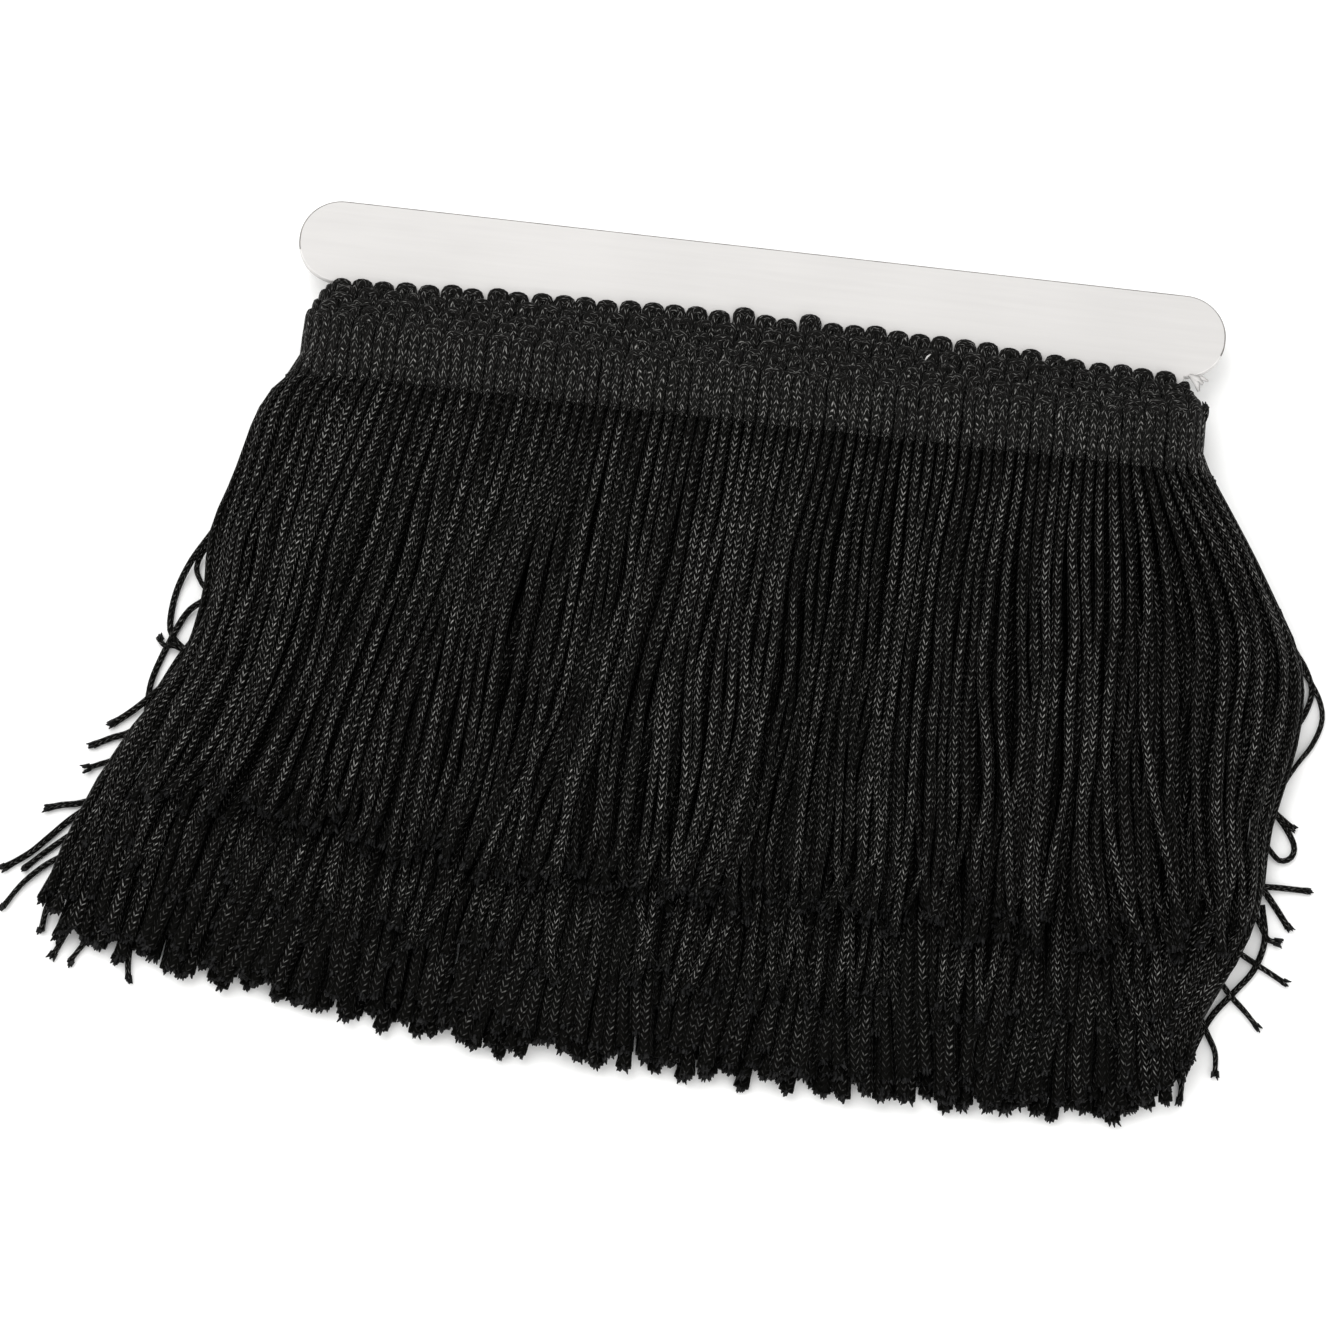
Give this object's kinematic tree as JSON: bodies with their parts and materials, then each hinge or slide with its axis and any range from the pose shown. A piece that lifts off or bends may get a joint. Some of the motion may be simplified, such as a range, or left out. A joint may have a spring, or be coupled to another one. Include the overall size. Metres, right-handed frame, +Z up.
{
  "type": "tassel fringe trim",
  "caption": "Black chainette fringe trim, its braided heading wound flat round a white cardboard winding board with a round-ended flange; the cords fan out below in stepped tiers.",
  "frame": {"origin": "under the middle of the part's bounding box, on the surface that the trim lies on", "axes": "+X along the board and the heading, +Y from the cut ends of the fringe to the board's flange, +Z up, out of the front of the winding"},
  "size_m": [0.2568, 0.1798, 0.0187],
  "materials": {
    "white_board": "matt white",
    "black_braid": "knitted polyester, soft sheen",
    "black_cord": "knitted polyester, soft sheen"
  },
  "bodies": {
    "root": {"winding_board": "white_board", "wound_heading": "black_braid", "fringe_floor_tier": "black_cord", "fringe_lower_tier": "black_cord", "fringe_upper_tier": "black_cord", "fringe_front_tier": "black_cord"}
  },
  "joints": []
}
